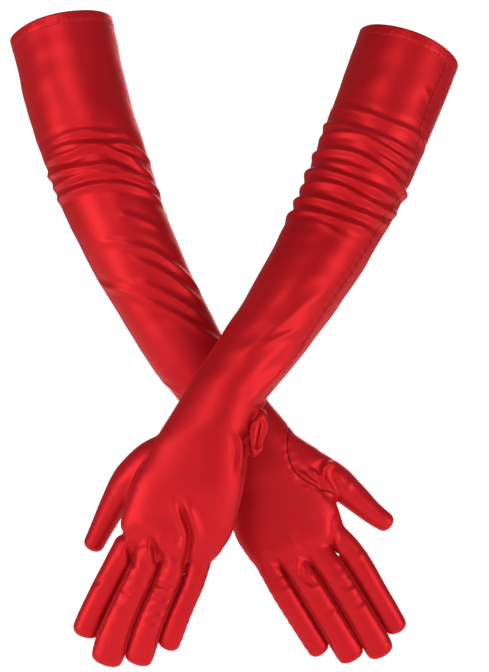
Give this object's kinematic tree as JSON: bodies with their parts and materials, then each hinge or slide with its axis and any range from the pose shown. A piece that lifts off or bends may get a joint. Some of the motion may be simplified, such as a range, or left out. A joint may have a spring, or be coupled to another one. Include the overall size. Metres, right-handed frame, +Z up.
{
  "type": "pair of opera gloves",
  "caption": "Long satin opera gloves, worn crossed: hollow sleeves from hemmed openings on the upper arms to the fingertips, with folds at elbows and wrists and strips let in between fingers.",
  "frame": {"origin": "centre of the right glove's arm opening", "axes": "+Z up, +X from the right glove's opening towards the left glove's, +Y through the hands from their backs to their palms; the gloves are seen from -Y"},
  "size_m": [0.3669, 0.1594, 0.5237],
  "materials": {
    "satin": "red stretch satin with broad soft highlights and a fine weave",
    "thread": "matt polyester sewing thread",
    "seam_allowance": "matt satin back, overlocked",
    "elastic": "matt braided elastic"
  },
  "bodies": {
    "right_upper": {"right_top_hem": "satin", "right_hem_elastic": "elastic", "right_hem_stitching": "thread", "right_upper_sleeve": "satin", "right_upper_seam": "seam_allowance", "right_elbow_folds": "satin"},
    "right_forearm": {"right_forearm_sleeve": "satin", "right_forearm_seam": "seam_allowance", "right_wrist_folds": "satin"},
    "right_hand": {"right_palm": "satin", "right_knuckle_folds": "satin", "right_thumb_gusset": "satin", "right_thumb_folds": "satin"},
    "right_thumb": {"right_thumb_stall": "satin"},
    "right_knuckles": {"right_finger_roots": "satin", "right_index_middle_fourchette": "satin", "right_middle_ring_fourchette": "satin", "right_ring_little_fourchette": "satin", "right_index_folds": "satin", "right_middle_folds": "satin", "right_ring_folds": "satin", "right_little_folds": "satin"},
    "right_index": {"right_index_stall": "satin"},
    "right_middle": {"right_middle_stall": "satin"},
    "right_ring": {"right_ring_stall": "satin"},
    "right_little": {"right_little_stall": "satin"},
    "left_upper": {"left_top_hem": "satin", "left_hem_elastic": "elastic", "left_hem_stitching": "thread", "left_upper_sleeve": "satin", "left_upper_seam": "seam_allowance", "left_elbow_folds": "satin"},
    "left_forearm": {"left_forearm_sleeve": "satin", "left_forearm_seam": "seam_allowance", "left_wrist_folds": "satin"},
    "left_hand": {"left_palm": "satin", "left_knuckle_folds": "satin", "left_thumb_gusset": "satin", "left_thumb_folds": "satin"},
    "left_thumb": {"left_thumb_stall": "satin"},
    "left_knuckles": {"left_finger_roots": "satin", "left_index_middle_fourchette": "satin", "left_middle_ring_fourchette": "satin", "left_ring_little_fourchette": "satin", "left_index_folds": "satin", "left_middle_folds": "satin", "left_ring_folds": "satin", "left_little_folds": "satin"},
    "left_index": {"left_index_stall": "satin"},
    "left_middle": {"left_middle_stall": "satin"},
    "left_ring": {"left_ring_stall": "satin"},
    "left_little": {"left_little_stall": "satin"}
  },
  "joints": [
    {"name": "gloves_apart", "type": "slide", "parent": "right_upper", "child": "left_upper", "axis": [0, -1, 0], "range_m": [0, 0.12]},
    {"name": "left_elbow", "type": "hinge", "parent": "left_upper", "child": "left_forearm", "pos_m": [0.23811, -0.0226, -0.1331], "axis": [-1, 0, 0], "range_deg": [0, 60], "deforming": ["left_elbow_folds"]},
    {"name": "right_elbow", "type": "hinge", "parent": "right_upper", "child": "right_forearm", "pos_m": [0.03925, -0.0226, -0.1331], "axis": [-1, 0, 0], "range_deg": [0, 60], "deforming": ["right_elbow_folds"]},
    {"name": "left_wrist", "type": "hinge", "parent": "left_forearm", "child": "left_hand", "pos_m": [0.14386, -0.08676, -0.28443], "axis": [0.8303, 0, -0.5573], "range_deg": [-45, 5], "deforming": ["left_wrist_folds"]},
    {"name": "left_thumb_knuckle", "type": "hinge", "parent": "left_hand", "child": "left_thumb", "pos_m": [0.05475, -0.08228, -0.37231], "axis": [0.8416, 0, -0.54], "range_deg": [0, 30], "deforming": ["left_thumb_folds"]},
    {"name": "left_knuckle_line", "type": "hinge", "parent": "left_hand", "child": "left_knuckles", "pos_m": [0.09868, -0.09979, -0.39605], "axis": [0.9536, 0, -0.3011], "range_deg": [0, 45], "deforming": ["left_knuckle_folds"]},
    {"name": "left_index_knuckle", "type": "hinge", "parent": "left_knuckles", "child": "left_index", "pos_m": [0.04586, -0.09474, -0.43712], "axis": [0.8881, 0, -0.4596], "range_deg": [0, 80], "deforming": ["left_index_folds"]},
    {"name": "left_middle_knuckle", "type": "hinge", "parent": "left_knuckles", "child": "left_middle", "pos_m": [0.06816, -0.09998, -0.43959], "axis": [0.9117, 0, -0.4109], "range_deg": [0, 80], "deforming": ["left_middle_folds"]},
    {"name": "left_ring_knuckle", "type": "hinge", "parent": "left_knuckles", "child": "left_ring", "pos_m": [0.08959, -0.09975, -0.44557], "axis": [0.9123, 0, -0.4096], "range_deg": [0, 80], "deforming": ["left_ring_folds"]},
    {"name": "left_little_knuckle", "type": "hinge", "parent": "left_knuckles", "child": "left_little", "pos_m": [0.10979, -0.09735, -0.44435], "axis": [0.9223, 0, -0.3866], "range_deg": [0, 80], "deforming": ["left_little_folds"]},
    {"name": "right_wrist", "type": "hinge", "parent": "right_forearm", "child": "right_hand", "pos_m": [0.12996, -0.03206, -0.29792], "axis": [0.806, 0, 0.5919], "range_deg": [-5, 50], "deforming": ["right_wrist_folds"]},
    {"name": "right_thumb_knuckle", "type": "hinge", "parent": "right_hand", "child": "right_thumb", "pos_m": [0.23141, -0.0318, -0.37422], "axis": [0.6324, 0, 0.7746], "range_deg": [0, 30], "deforming": ["right_thumb_folds"]},
    {"name": "right_knuckle_line", "type": "hinge", "parent": "right_hand", "child": "right_knuckles", "pos_m": [0.18587, -0.04262, -0.40532], "axis": [0.9459, 0, 0.3245], "range_deg": [0, 45], "deforming": ["right_knuckle_folds"]},
    {"name": "right_index_knuckle", "type": "hinge", "parent": "right_knuckles", "child": "right_index", "pos_m": [0.23964, -0.04515, -0.42703], "axis": [0.8293, 0, 0.5588], "range_deg": [0, 80], "deforming": ["right_index_folds"]},
    {"name": "right_middle_knuckle", "type": "hinge", "parent": "right_knuckles", "child": "right_middle", "pos_m": [0.22278, -0.04812, -0.44152], "axis": [0.8186, 0, 0.5744], "range_deg": [0, 80], "deforming": ["right_middle_folds"]},
    {"name": "right_ring_knuckle", "type": "hinge", "parent": "right_knuckles", "child": "right_ring", "pos_m": [0.20299, -0.04812, -0.44975], "axis": [0.8493, 0, 0.528], "range_deg": [0, 80], "deforming": ["right_ring_folds"]},
    {"name": "right_little_knuckle", "type": "hinge", "parent": "right_knuckles", "child": "right_little", "pos_m": [0.17972, -0.04504, -0.45324], "axis": [0.8552, 0, 0.5183], "range_deg": [0, 80], "deforming": ["right_little_folds"]}
  ],
  "couplings": [
    {"joint": "right_elbow", "follows": "left_elbow", "ratio": 1}
  ]
}
